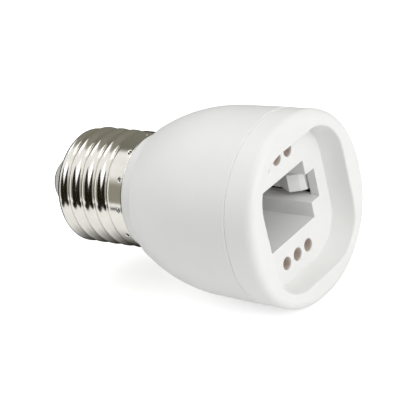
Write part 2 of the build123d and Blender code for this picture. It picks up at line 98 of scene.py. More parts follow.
class AdapterSizes(bpy.types.PropertyGroup):
    """Sizes of the pieces that are made here, in metres."""

    shell_r: FloatProperty(
        name="Shell Radius", description="Radius of the skirt and the thread's crests",
        default=shell_high.z, unit="LENGTH",
    )
    thread_pitch: FloatProperty(
        name="Thread Pitch", description="Distance between two crests",
        default=3.629 * MM, unit="LENGTH",
    )
    thread_depth: FloatProperty(
        name="Thread Depth", description="From a crest down to the groove's floor",
        default=0.95 * MM, unit="LENGTH",
    )
    groove_share: FloatProperty(
        name="Groove Share", description="Share of the thread's wave that is its hollow arc",
        default=0.42, min=0.2, max=0.8, subtype="FACTOR",
    )
    thread_first_x: FloatProperty(
        name="First Groove", description="Where the groove starts, near the shell's end",
        default=-53.0 * MM, unit="LENGTH",
    )
    thread_last_x: FloatProperty(
        name="Last Groove", description="Where the groove runs out, near the skirt",
        default=-39.4 * MM, unit="LENGTH",
    )
    thread_start: FloatProperty(
        name="Thread Start", description="Angle from +Y at which the groove starts",
        default=math.radians(41), subtype="ANGLE",
    )
    thread_fade: FloatProperty(
        name="Thread Run-out", description="Share of a turn over which the groove fades out",
        default=0.22, min=0.01, max=1.0, subtype="FACTOR",
    )
    shell_wall: FloatProperty(
        name="Shell Wall", description="Thickness of the shell's sheet",
        default=0.35 * MM, unit="LENGTH",
    )
    taper_start_x: FloatProperty(
        name="Taper Start", description="Where the shell starts to close in",
        default=-53.0 * MM, unit="LENGTH",
    )
    taper_curve: FloatProperty(
        name="Taper Curve", description="How round the shell closes in; 1 is a straight cone",
        default=1.6, min=1.0, max=3.0,
    )
    shell_end_r: FloatProperty(
        name="Shell End Radius", description="Radius of the shell's open end",
        default=10.6 * MM, unit="LENGTH",
    )
    dimple_count: IntProperty(
        name="Dimples", description="Staked dimples around the skirt", default=12, min=1,
    )
    dimple_angle: FloatProperty(
        name="Dimple Angle", description="Angle of the first dimple from +Y",
        default=math.radians(112), subtype="ANGLE",
    )
    dimple_r: FloatProperty(
        name="Dimple Radius", description="Radius of a dimple at the surface",
        default=0.52 * MM, unit="LENGTH",
    )
    dimple_depth: FloatProperty(
        name="Dimple Depth", description="Depth of a dimple, as a share of its radius",
        default=1.2, min=0.0,
    )
    dimple_steepness: FloatProperty(
        name="Dimple Steepness", description="How steep a dimple's side is; 1 has no flat bottom",
        default=1.3, min=1.0,
    )
    dimple_inset: FloatProperty(
        name="Dimple Inset", description="From the skirt's edge to a dimple's centre",
        default=0.9 * MM, unit="LENGTH",
    )
    spring_wire_r: FloatProperty(
        name="Spring Wire Radius", description="Radius of the latch springs' wire",
        default=0.19 * MM, unit="LENGTH",
    )
    spring_turns: FloatProperty(
        name="Spring Turns", description="Working turns of a latch spring", default=3.0, min=1.0,
    )
    spring_closed: FloatProperty(
        name="Closed Turns", description="Turns laid close at each end of a latch spring",
        default=0.75, min=0.25,
    )
    spring_keep: FloatProperty(
        name="Spring Keep", description="Share of its length that a pressed spring keeps",
        default=0.54, min=0.1, max=1.0, subtype="FACTOR",
    )


class AdapterColours(bpy.types.PropertyGroup):
    """Colours of the finishes, as linear red, green and blue."""

    white: FloatVectorProperty(
        name="White", description="Moulded bell", subtype="COLOR",
        default=(0.88, 0.88, 0.87),
    )
    # Painted light: a little lighter than the bell's white, making up for light on the socket's
    # front
    white_cap: FloatVectorProperty(
        name="White Cap Lit", description="Moulded socket front", subtype="COLOR",
        default=(0.91, 0.91, 0.895),
    )
    # Painted light: lighter than the bell's white, making up for light that the lamps leave out in
    # the keyway
    white_latch: FloatVectorProperty(
        name="White Latch Lit", description="Moulded latches", subtype="COLOR",
        default=(0.95, 0.95, 0.935),
    )
    # Painted shade: the carrier is a deep brown so that the socket's inside reads as dark, brownish
    # shade
    carrier_shade_brown: FloatVectorProperty(
        name="Carrier Shade Brown", description="Contact carrier", subtype="COLOR",
        default=(0.055, 0.033, 0.018),
    )
    nickel: FloatVectorProperty(
        name="Nickel", description="Plated screw shell", subtype="COLOR",
        default=(0.83, 0.81, 0.755),
    )
    insulator: FloatVectorProperty(
        name="Insulator", description="Glazed cone", subtype="COLOR",
        default=(0.82, 0.82, 0.79),
    )
    contact: FloatVectorProperty(
        name="Contact", description="Plated end contact", subtype="COLOR",
        default=(0.15, 0.142, 0.125),
    )
    # Painted light: paler than brass, so that the shaded pin holes read lighter
    brass: FloatVectorProperty(
        name="Brass", description="Contact strips and tags", subtype="COLOR",
        default=(1.0, 0.91, 0.84),
    )
    steel: FloatVectorProperty(
        name="Steel", description="Springs, pins and screws", subtype="COLOR",
        default=(0.62, 0.62, 0.61),
    )
    solder: FloatVectorProperty(
        name="Solder", description="Set solder", subtype="COLOR",
        default=(0.70, 0.70, 0.71),
    )
    brown: FloatVectorProperty(
        name="Live Brown", description="Live lead's insulation", subtype="COLOR",
        default=(0.22, 0.10, 0.05),
    )
    blue: FloatVectorProperty(
        name="Neutral Blue", description="Neutral lead's insulation", subtype="COLOR",
        default=(0.06, 0.16, 0.42),
    )


class AdapterStudio(bpy.types.PropertyGroup):
    """Lamps, backdrop and camera, in metres and watts."""

    key_place: FloatVectorProperty(
        name="Key Place", description="Where the key light stands, in front of the socket",
        default=(0.84, -0.12, 0.38), subtype="TRANSLATION", unit="LENGTH",
    )
    key_size: FloatProperty(
        name="Key Size", description="Side of the key light", default=0.6, unit="LENGTH",
    )
    key_power: FloatProperty(
        name="Key Power", description="Power of the key light", default=3.8, unit="POWER",
    )
    top_place: FloatVectorProperty(
        name="Top Place", description="Where the top light stands",
        default=(-0.25, 0.12, 0.72), subtype="TRANSLATION", unit="LENGTH",
    )
    top_size: FloatProperty(
        name="Top Size", description="Side of the top light", default=0.4, unit="LENGTH",
    )
    top_power: FloatProperty(
        name="Top Power", description="Power of the top light", default=0.5, unit="POWER",
    )
    side_place: FloatVectorProperty(
        name="Side Place", description="Where the side light stands, on the camera's left",
        default=(-0.62, -0.50, 0.38), subtype="TRANSLATION", unit="LENGTH",
    )
    side_size: FloatProperty(
        name="Side Size", description="Side of the side light", default=0.4, unit="LENGTH",
    )
    side_power: FloatProperty(
        name="Side Power", description="Power of the side light", default=1.4, unit="POWER",
    )
    horizon_light: FloatProperty(
        name="Horizon Light", description="Strength of the world's light at the horizon",
        default=0.02, min=0.0,
    )
    zenith_light: FloatProperty(
        name="Zenith Light", description="Strength of the world's light straight above",
        default=1.0, min=0.0,
    )
    paper_white: FloatProperty(
        name="Paper White", description="Share of the light that the floor's paper gives back",
        default=0.94, min=0.0, max=1.0, subtype="FACTOR",
    )
    floor_lift: FloatProperty(
        name="Floor Lift", description="Glow that brings the floor up to white for the camera",
        default=0.5, min=0.0,
    )
    mirrored_lift: FloatProperty(
        name="Mirrored Lift", description="Share of the floor's glow that shiny pieces show",
        default=0.12, min=0.0, max=1.0, subtype="FACTOR",
    )
    card_black: FloatVectorProperty(
        name="Card Black", description="Front card and apron card", subtype="COLOR",
        default=(0.012, 0.009, 0.005),
    )
    card_dim: FloatVectorProperty(
        name="Card Dim", description="Left card", subtype="COLOR", default=(0.31, 0.30, 0.245),
    )
    # Painted shadow: a dark card just above the floor, under and behind the adapter, seen only in
    # reflections, stands in for the floor's shadow under the shell
    floor_shadow_black: FloatVectorProperty(
        name="Floor Shadow Card", description="Card on the floor behind the adapter", subtype="COLOR",
        default=(0.03, 0.028, 0.022),
    )
    back_dark: FloatVectorProperty(
        name="Back Dark", description="Back card, at the cap's side", subtype="COLOR",
        default=(0.035, 0.033, 0.023),
    )
    back_pale: FloatVectorProperty(
        name="Back Pale", description="Back card, at the socket's side", subtype="COLOR",
        default=(0.34, 0.33, 0.275),
    )
    floor_gap: FloatProperty(
        name="Floor Gap", description="From the adapter's lowest place down to the floor",
        default=0.4 * MM, unit="LENGTH",
    )
    floor_half: FloatProperty(
        name="Floor Half Width", description="From the floor's middle to its edge",
        default=3.0, unit="LENGTH",
    )
    camera_place: FloatVectorProperty(
        name="Camera Place", description="Where the camera stands",
        default=(0.30094, -0.36886, 0.23222), subtype="TRANSLATION", unit="LENGTH",
    )
    camera_forward: FloatVectorProperty(
        name="Camera Forward", description="Direction that the camera looks in",
        default=(-0.5946, 0.6782, -0.4318), subtype="DIRECTION",
    )
    camera_up: FloatVectorProperty(
        name="Camera Up", description="Direction of the picture's upper edge",
        default=(-0.1027, 0.4685, 0.8775), subtype="DIRECTION",
    )
    camera_lens: FloatProperty(
        name="Camera Lens", description="Focal length", default=213.04, min=1.0, unit="CAMERA",
    )
    camera_sensor: FloatProperty(
        name="Camera Sensor", description="Sensor width", default=36.0, min=1.0, unit="CAMERA",
    )


# Meshes
def mesh_piece(name, points, faces, sharp=None):
    """A smooth-shaded mesh object, with edges over the sharp angle kept crisp."""
    mesh = bpy.data.meshes.new(name)
    mesh.from_pydata([tuple(point) for point in points], [], faces)
    mesh.update()
    mesh.shade_smooth()
    if sharp is not None:
        mesh.set_sharp_from_angle(angle=sharp)
    piece = bpy.data.objects.new(name, mesh)
    bpy.context.scene.collection.objects.link(piece)
    return piece


def ring_faces(rows, columns, closed_rows):
    """Quads of a grid that is closed around its columns, and around its rows too if asked."""
    faces = []
    for row in range(rows if closed_rows else rows - 1):
        after = (row + 1) % rows
        for column in range(columns):
            beside = (column + 1) % columns
            faces.append((
                row * columns + column, row * columns + beside,
                after * columns + beside, after * columns + column,
            ))
    return faces


def tube_along(path, radius, sides):
    """Points and faces of a round tube that follows the path, closed at both ends."""
    points = []
    normal = None
    for i, here in enumerate(path):
        ahead = path[min(i + 1, len(path) - 1)] - path[max(i - 1, 0)]
        ahead.normalize()
        if normal is None:
            normal = ahead.orthogonal().normalized()
        normal = (normal - ahead * normal.dot(ahead)).normalized()
        beside = ahead.cross(normal)
        for side in range(sides):
            angle = 2 * math.pi * side / sides
            points.append(here + radius * (math.cos(angle) * normal + math.sin(angle) * beside))
    faces = ring_faces(len(path), sides, False)
    faces.append(tuple(reversed(range(sides))))
    faces.append(tuple(range(len(points) - sides, len(points))))
    return points, faces


def dress(piece, material, node):
    """Gives a new piece its material and body, and hides the node it stands in for."""
    piece.data.materials.clear()
    piece.data.materials.append(material)
    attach(piece, body_of_node[node])
    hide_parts(node)


def paint(material, *nodes):
    """Gives solids from the frame their material."""
    for node in nodes:
        target = frame["nodes"][node]
        target.data.materials.clear()
        target.data.materials.append(material)


# Materials
def add_node(tree, kind, links=(), **values):
    """A node with its settings, and its input sockets linked or set by name or number."""
    node = tree.nodes.new(kind)
    for key, value in values.items():
        setattr(node, key, value)
    for socket, source in links:
        if isinstance(source, bpy.types.NodeSocket):
            tree.links.new(source, node.inputs[socket])
        else:
            node.inputs[socket].default_value = source
    return node


def math_node(tree, operation, *sources):
    """The output of a Math node."""
    return add_node(
        tree, "ShaderNodeMath", list(enumerate(sources)), operation=operation
    ).outputs[0]


def noise_over(tree, where, **sockets):
    """Noise from 0 to 1 over the given coordinates, with its other sockets linked or set."""
    return add_node(
        tree, "ShaderNodeTexNoise", [("Vector", where), *sockets.items()]
    ).outputs[0]


def spread(tree, noise_value, low=0.3, high=0.7):
    """Noise, which mostly lies between low and high, brought to the whole range from 0 to 1."""
    return add_node(
        tree, "ShaderNodeMapRange", [("Value", noise_value), ("From Min", low), ("From Max", high)]
    ).outputs[0]


def centred(tree, value, width):
    """A 0 to 1 value brought to the given width around 0."""
    return math_node(tree, "MULTIPLY_ADD", value, width, -width / 2)


def darkened(tree, colour, mask, share):
    """A colour that is darker by a share of itself where the mask is 1."""
    shade = math_node(tree, "SUBTRACT", 1.0, math_node(tree, "MULTIPLY", mask, share))
    return add_node(
        tree, "ShaderNodeVectorMath", [(0, colour), (3, shade)], operation="SCALE"
    ).outputs[0]


def finish_group(name, inputs):
    """A shader node group that gives a finish: its tree, and its input and output nodes."""
    group = bpy.data.node_groups.new(name, "ShaderNodeTree")
    for label, kind, default in inputs:
        socket = group.interface.new_socket(label, in_out="INPUT", socket_type=kind)
        socket.default_value = default
    for label, kind in (
        ("Colour", "NodeSocketColor"), ("Roughness", "NodeSocketFloat"),
        ("Height", "NodeSocketFloat"),
    ):
        group.interface.new_socket(label, in_out="OUTPUT", socket_type=kind)
    return group, group.nodes.new("NodeGroupInput"), group.nodes.new("NodeGroupOutput")


def moulded_skin(flow_dullness=0.1, skin_dullness=0.08, sink_height=6.0):
    """Moulded plastic: faint flow marks in the colour, and a fine eroded skin.

    Both vary the roughness. The sink marks' height is against that of the skin.
    """
    group, given, made = finish_group("Moulded Skin", [
        ("Colour", "NodeSocketColor", (0.8, 0.8, 0.8, 1.0)),
        ("Drift", "NodeSocketFloat", 0.03),
        ("Roughness", "NodeSocketFloat", 0.4),
        ("Flow Size", "NodeSocketFloat", 160.0),
        ("Skin Size", "NodeSocketFloat", 5200.0),
    ])
    given = given.outputs
    where = add_node(group, "ShaderNodeTexCoord").outputs["Object"]
    flow = noise_over(group, where, Scale=given["Flow Size"], Detail=3.0, Distortion=0.6)
    skin = noise_over(group, where, Scale=given["Skin Size"], Detail=2.0)
    uneven = math_node(
        group, "ADD", centred(group, flow, flow_dullness), centred(group, skin, skin_dullness)
    )
    sink = math_node(group, "MULTIPLY", flow, sink_height)
    for label, source in (
        ("Colour", darkened(group, given["Colour"], flow, given["Drift"])),
        ("Roughness", math_node(group, "ADD", given["Roughness"], uneven)),
        ("Height", math_node(group, "ADD", sink, skin)),
    ):
        group.links.new(source, made.inputs[label])


def drawn_metal():
    """Rolled, drawn or stamped metal: fine lines across the stretch, stains and worn haze."""
    group, given, made = finish_group("Drawn Metal", [
        ("Colour", "NodeSocketColor", (0.7, 0.7, 0.7, 1.0)),
        ("Stretch", "NodeSocketVector", (9000.0, 500.0, 500.0)),
        ("Roughness", "NodeSocketFloat", 0.15),
        ("Haze", "NodeSocketFloat", 0.12),
        ("Stain", "NodeSocketFloat", 0.12),
        ("Stain Size", "NodeSocketFloat", 420.0),
    ])
    given = given.outputs
    where = add_node(group, "ShaderNodeTexCoord").outputs["Object"]
    stretched = add_node(
        group, "ShaderNodeVectorMath", [(0, where), (1, given["Stretch"])], operation="MULTIPLY"
    ).outputs[0]
    lines = noise_over(group, stretched, Scale=1.0, Detail=4.0)
    stains = noise_over(group, where, Scale=given["Stain Size"], Detail=5.0, Roughness=0.6)
    patches = spread(group, stains)
    worn = math_node(
        group, "MULTIPLY", math_node(group, "MULTIPLY", lines, patches), given["Haze"]
    )
    for label, source in (
        ("Colour", darkened(group, given["Colour"], patches, given["Stain"])),
        ("Roughness", math_node(group, "ADD", given["Roughness"], worn)),
        ("Height", lines),
    ):
        group.links.new(source, made.inputs[label])


def material_from(group, name, colour, relief, strength, values, **shader):
    """A material whose colour, roughness and height come from a shared group.

    relief is the height in metres, and strength how much of it the light shows. values sets the
    group's sockets, and shader the Principled BSDF's own, with underscores for spaces.
    """
    material = bpy.data.materials.new(name)
    material.use_nodes = True
    tree = material.node_tree
    principled = tree.nodes["Principled BSDF"]
    effect = add_node(
        tree, "ShaderNodeGroup", [("Colour", (*colour, 1.0)), *values.items()],
        node_tree=bpy.data.node_groups[group],
    ).outputs
    bump = add_node(
        tree, "ShaderNodeBump",
        [("Height", effect["Height"]), ("Distance", relief), ("Strength", strength)],
    )
    tree.links.new(effect["Colour"], principled.inputs["Base Color"])
    tree.links.new(effect["Roughness"], principled.inputs["Roughness"])
    tree.links.new(bump.outputs["Normal"], principled.inputs["Normal"])
    for label, value in shader.items():
        principled.inputs[label.replace("_", " ")].default_value = value
    return material


def plastic(name, colour, relief=0.02 * MM, strength=0.25, **values):
    """Satin moulded plastic."""
    return material_from("Moulded Skin", name, colour, relief, strength, values, IOR=1.5)


def metal(name, colour, relief=0.01 * MM, strength=0.3, **values):
    """Bare or plated metal."""
    return material_from("Drawn Metal", name, colour, relief, strength, values, Metallic=1.0)


# Screw shell
def groove_profile(offset, pitch, depth, groove_share):
    """Depth of the thread at an offset from the groove's middle: two arcs that run on smoothly."""
    half = pitch / 2
    slope = 2 * math.atan(depth / half)
    groove_half, crest_half = half * groove_share, half * (1 - groove_share)
    groove_r, crest_r = groove_half / math.sin(slope), crest_half / math.sin(slope)
    if offset < groove_half:
        return depth - groove_r + math.sqrt(groove_r**2 - offset**2)
    return crest_r - math.sqrt(crest_r**2 - (half - offset) ** 2)


def smooth_step(value):
    """0 below 0, 1 above 1 and an S curve between."""
    value = min(max(value, 0.0), 1.0)
    return value * value * (3 - 2 * value)


def thread_depth_at(sizes, x, angle):
    """Depth of the rolled groove below the crests at a place on the shell."""
    turn = ((angle - sizes.thread_start) / (2 * math.pi)) % 1.0
    along = (x - sizes.thread_first_x) / sizes.thread_pitch - turn
    nearest = round(along)
    turns_in = nearest + turn
    turns = (sizes.thread_last_x - sizes.thread_first_x) / sizes.thread_pitch
    strength = smooth_step(turns_in / sizes.thread_fade + 0.5)
    strength *= smooth_step((turns - turns_in) / sizes.thread_fade + 0.5)
    offset = abs(along - nearest) * sizes.thread_pitch
    return strength * groove_profile(
        offset, sizes.thread_pitch, sizes.thread_depth, sizes.groove_share
    )


def dimple_depth_at(sizes, x, angle):
    """Depth of the nearest staked dimple at a place on the skirt."""
    step = 2 * math.pi / sizes.dimple_count
    around = (angle - sizes.dimple_angle + step / 2) % step - step / 2
    away = math.hypot(around * sizes.shell_r, x - shell_high.x + sizes.dimple_inset)
    depth = sizes.dimple_depth * sizes.dimple_r
    return depth * smooth_step(sizes.dimple_steepness * (1 - away / sizes.dimple_r))


def even_steps(start, end, step):
    """Evenly spaced values from start up to, but not at, end."""
    count = max(1, round(abs(end - start) / step))
    return [start + (end - start) * i / count for i in range(count)]


class ADAPTER_OT_screw_shell(bpy.types.Operator):
    """Rolls the screw shell, with its thread, tapered end and staked dimples"""

    bl_idname = "adapter.screw_shell"
    bl_label = "Make Screw Shell"

    sides: IntProperty(name="Sides", description="Facets around the shell", default=480, min=60)
    outer_step: FloatProperty(
        name="Outer Step", description="Spacing of the mesh along the thread",
        default=0.2 * MM, unit="LENGTH",
    )
    dimple_step: FloatProperty(
        name="Dimple Step", description="Spacing of the mesh along the dimples",
        default=0.09 * MM, unit="LENGTH",
    )
    inner_step: FloatProperty(
        name="Inner Step", description="Spacing of the mesh along the inner face",
        default=0.5 * MM, unit="LENGTH",
    )
    dimple_margin: FloatProperty(
        name="Dimple Margin", description="Reach of the finer mesh, as a share of dimple radius",
        default=1.3, min=1.0,
    )
    edge_steps: IntProperty(
        name="Edge Steps", description="Facets around the skirt's rounded edge", default=6, min=2,
    )
    sharp_angle: FloatProperty(
        name="Sharp Angle", description="Edges over this angle stay crisp",
        default=math.radians(60), subtype="ANGLE",
    )
    # Painted shade: faces deeper than pit_share in a dimple get the nickel darkened to pit_shade,
    # standing in for the shade in the pits
    pit_share: FloatProperty(
        name="Pit Share", description="Depth past which a dimple is dull, as a share of its radius",
        default=0.3, min=0.0, subtype="FACTOR",
    )
    pit_shade: FloatProperty(
        name="Pit Shade", description="Colour of a dimple's bottom, as a share of the plate's",
        default=0.08, min=0.0, max=1.0, subtype="FACTOR",
    )

    def outer_r(self, sizes, x, angle):
        """Radius of the shell's outer face."""
        taper = (sizes.taper_start_x - x) / (sizes.taper_start_x - shell_low.x)
        drop = max(taper, 0.0) ** sizes.taper_curve
        base = sizes.shell_r - (sizes.shell_r - sizes.shell_end_r) * drop
        return base - thread_depth_at(sizes, x, angle) - dimple_depth_at(sizes, x, angle)

    def execute(self, context):
        sizes = context.scene.adapter_sizes
        skirt_x, end_x = shell_high.x, shell_low.x
        wall = sizes.shell_wall
        dimple_zone = skirt_x - sizes.dimple_inset - self.dimple_margin * sizes.dimple_r
        # Each station is a place along the shell and how far it is set in from the outer face
        stations = [(x, 0.0) for x in even_steps(end_x, dimple_zone, self.outer_step)]
        stations += [
            (x, 0.0) for x in even_steps(dimple_zone, skirt_x - wall / 2, self.dimple_step)
        ]
        for step in range(self.edge_steps + 1):
            turned = math.pi * step / self.edge_steps
            stations.append((
                skirt_x - wall / 2 * (1 - math.sin(turned)), wall / 2 * (1 - math.cos(turned))
            ))
        stations += [(x, wall) for x in even_steps(skirt_x - wall, end_x, self.inner_step)]
        stations.append((end_x, wall))
        points = []
        for x, inset in stations:
            for side in range(self.sides):
                angle = 2 * math.pi * side / self.sides
                r = self.outer_r(sizes, x, angle) - inset
                points.append((x, r * math.cos(angle), r * math.sin(angle)))
        faces = ring_faces(len(stations), self.sides, True)
        shell = mesh_piece("rolled_screw_shell", points, faces, self.sharp_angle)
        nickel = context.scene.adapter_colours.nickel
        dress(shell, metal(
            "Nickel plate", nickel, strength=0.08, Roughness=0.10, Haze=0.12, Stain=0.08,
        ), "screw_shell")
        # The punched bottoms of the dimples get a dark, rough copy of the nickel: painted shade in
        # the pits
        dull_and_shaded = len(shell.data.materials)
        shell.data.materials.append(metal(
            "Pit shade nickel", [self.pit_shade * share for share in nickel], strength=0.4,
            Roughness=0.45, Haze=0.3, Stain=0.3,
        ))
        for face in shell.data.polygons:
            x, y, z = face.center
            if dimple_depth_at(sizes, x, math.atan2(z, y)) > self.pit_share * sizes.dimple_r:
                face.material_index = dull_and_shaded
        return {"FINISHED"}


class ADAPTER_OT_springs(bpy.types.Operator):
    """Winds the two latch springs, with closed ends"""

    bl_idname = "adapter.springs"
    bl_label = "Make Latch Springs"

    steps_a_turn: IntProperty(
        name="Steps", description="Steps in each turn of a spring", default=36, min=8,
    )
    wire_sides: IntProperty(
        name="Wire Sides", description="Facets around the wire", default=12, min=6,
    )
    sharp_angle: FloatProperty(
        name="Sharp Angle", description="Edges over this angle stay crisp",
        default=math.radians(50), subtype="ANGLE",
    )

    def coil(self, sizes, centre, coil_r, start_y, end_y):
        """Path of a spring along Y, flat at both ends and rising in between."""
        turns = sizes.spring_turns + 2 * sizes.spring_closed
        path = []
        for step in range(int(turns * self.steps_a_turn) + 1):
            turn = step / self.steps_a_turn
            travel = (turn - sizes.spring_closed / 2) / (turns - sizes.spring_closed)
            rise = (smooth_step(travel) + min(max(travel, 0.0), 1.0)) / 2
            angle = 2 * math.pi * turn
            path.append(Vector((
                centre.x + coil_r * math.cos(angle), start_y + rise * (end_y - start_y),
                centre.z + coil_r * math.sin(angle),
            )))
        return path

    def execute(self, context):
        sizes = context.scene.adapter_sizes
        steel = metal(
            "Spring steel", context.scene.adapter_colours.steel,
            Roughness=0.22, Stretch=(2500.0, 2500.0, 2500.0),
        )
        wire_r = sizes.spring_wire_r
        for side, name in ((1, "far"), (-1, "near")):
            node = f"latch_spring_{name}"
            low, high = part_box(node)
            middle = (low + high) / 2
            seat_y = max(abs(low.y), abs(high.y))
            foot_y = min(abs(low.y), abs(high.y))
            path = self.coil(
                sizes, middle, (high.x - low.x) / 2 - wire_r,
                side * (foot_y + wire_r), side * (seat_y - wire_r),
            )
            points, faces = tube_along(path, wire_r, self.wire_sides)
            spring = mesh_piece(f"coiled_{node}", points, faces, self.sharp_angle)
            dress(spring, steel, node)
            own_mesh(spring)
        return {"FINISHED"}


class ADAPTER_OT_solder(bpy.types.Operator):
    """Melts the two solder joints into uneven domes"""

    bl_idname = "adapter.solder"
    bl_label = "Make Solder"

    mesh_size: FloatProperty(
        name="Mesh Size", description="Spacing of the solder's mesh",
        default=0.07 * MM, unit="LENGTH",
    )
    melting: IntProperty(name="Melting", description="Rounds of smoothing", default=12, min=0)
    ripple_size: FloatProperty(
        name="Ripple Size", description="Spacing of the surface's ripples",
        default=0.9 * MM, unit="LENGTH",
    )
    ripple_height: FloatProperty(
        name="Ripple Height", description="Height of the surface's ripples",
        default=0.05 * MM, unit="LENGTH",
    )

    def execute(self, context):
        solder = metal(
            "Set solder", context.scene.adapter_colours.solder, strength=0.35,
            Roughness=0.2, Stretch=(1500.0, 1500.0, 1500.0), Stain=0.2, Haze=0.2,
        )
        for node in ("centre_solder", "shell_solder"):
            source = frame["nodes"][node]
            low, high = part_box(node)
            piece = source.copy()
            piece.data = source.data.copy()
            piece.name = piece.data.name = f"set_{node}"
            # The copy leaves the solid's own marks behind
            for key in list(piece.keys()):
                del piece[key]
            piece.parent = None
            bpy.context.scene.collection.objects.link(piece)
            remesh = piece.modifiers.new("Even mesh", "REMESH")
            remesh.mode = "VOXEL"
            remesh.voxel_size = self.mesh_size
            soften = piece.modifiers.new("Melt", "SMOOTH")
            soften.iterations = self.melting
            depsgraph = bpy.context.evaluated_depsgraph_get()
            melted = bpy.data.meshes.new_from_object(piece.evaluated_get(depsgraph))
            piece.modifiers.clear()
            piece.data = melted
            for vertex in melted.vertices:
                ripple = noise.noise(vertex.co / self.ripple_size) * self.ripple_height
                place = vertex.co + vertex.normal * ripple
                for i in range(3):
                    place[i] = min(max(place[i], low[i]), high[i])
                vertex.co = place
            melted.shade_smooth()
            dress(piece, solder, node)
        return {"FINISHED"}


class ADAPTER_OT_mouldings(bpy.types.Operator):
    """Gives the moulded pieces and the insulator their finishes"""

    bl_idname = "adapter.mouldings"
    bl_label = "Finish Mouldings"

    def execute(self, context):
        colours = context.scene.adapter_colours
        paint(plastic("White bell", colours.white, Roughness=0.42), "body_housing")
        # Painted light: the cap gets a lighter copy of the white
        paint(plastic("Lit white cap", colours.white_cap, Roughness=0.4), "front_cap")
        # Painted light: the latches get a lighter copy of the white
        paint(
            plastic("Lit white latch", colours.white_latch, Roughness=0.3, Drift=0.02),
            "latch_far", "latch_near",
        )
        # Painted shade: the carrier's deep brown darkens the socket's inside
        paint(
            plastic("Carrier plastic, painted shade", colours.carrier_shade_brown, Roughness=0.5, Drift=0.06),
            "contact_carrier",
        )
        paint(plastic("Glazed cone", colours.insulator, Roughness=0.2), "cap_insulator")
        paint(plastic("Live sleeve", colours.brown, Roughness=0.4), "live_wire")
        paint(plastic("Neutral sleeve", colours.blue, Roughness=0.4), "neutral_wire")
        return {"FINISHED"}


class ADAPTER_OT_metalwork(bpy.types.Operator):
    """Gives the brass, the contact, the pins and the screws their finishes"""

    bl_idname = "adapter.metalwork"
    bl_label = "Finish Metalwork"

    def execute(self, context):
        colours = context.scene.adapter_colours
        # Painted light: the pale brass lightens the shaded pin holes
        paint(
            metal(
                "Stamped brass", colours.brass, Roughness=0.75,
                Stretch=(600.0, 7000.0, 7000.0), Stain=0.2,
            ),
            "contact_strip_upper", "contact_strip_lower", "live_tag", "neutral_tag",
        )
        paint(
            metal("Turned contact", colours.contact, Roughness=0.25, Stain=0.25),
            "centre_contact",
        )
        paint(
            metal("Ground steel", colours.steel, Roughness=0.2, Stretch=(4000.0, 4000.0, 900.0)),
            "latch_pin_far", "latch_pin_near",
        )
        paint(
            metal("Zinc plate", colours.steel, Roughness=0.3, Stain=0.2), "carrier_screws"
        )
        return {"FINISHED"}


# Studio
def blank_tree(holder):
    """The emptied node tree of a material or a world."""
    holder.use_nodes = True
    holder.node_tree.nodes.clear()
    return holder.node_tree


def ray_masks(tree):
    """Masks from 0 to 1 for rays from the camera, and for rays off or through shiny pieces."""
    path = add_node(tree, "ShaderNodeLightPath").outputs
    mirrored = math_node(tree, "MAXIMUM", path["Is Glossy Ray"], path["Is Transmission Ray"])
    return path["Is Camera Ray"], mirrored


def card_strip(name, columns):
    """A card made of columns, each a bottom and a top place.

    Its own coordinates run from 0 to 1 along the columns and from 0 to 1 up them.
    """
    points = [place for column in columns for place in column]
    faces = [(2 * i, 2 * i + 2, 2 * i + 3, 2 * i + 1) for i in range(len(columns) - 1)]
    card = mesh_piece(name, points, faces)
    along = card.data.uv_layers.new(name="card")
    for loop in card.data.loops:
        column, top = divmod(loop.vertex_index, 2)
        along.data[loop.index].uv = (column / (len(columns) - 1), top)
    card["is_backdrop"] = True
    return card


def straight_card(name, first, last):
    """A card with two columns along X, from its first bottom corner to its last top corner."""
    return card_strip(name, [
        (Vector((x, *first[1:])), Vector((x, *last[1:]))) for x in (first[0], last[0])
    ])


def sky_place(azimuth, elevation, distance):
    """A place at an azimuth and elevation in degrees, as the shell's middle sees it."""
    middle = (shell_low + shell_high) / 2
    turn, rise = math.radians(azimuth), math.radians(elevation)
    return Vector((middle.x, 0, 0)) + distance * Vector((
        math.cos(turn) * math.cos(rise), math.sin(turn) * math.cos(rise), math.sin(rise)
    ))


def sky_card(name, skyline, bottom, distance):
    """A card along the horizon, from a bottom elevation up to a skyline."""
    return card_strip(name, [
        (sky_place(azimuth, bottom, distance), sky_place(azimuth, top, distance))
        for azimuth, top in skyline
    ])


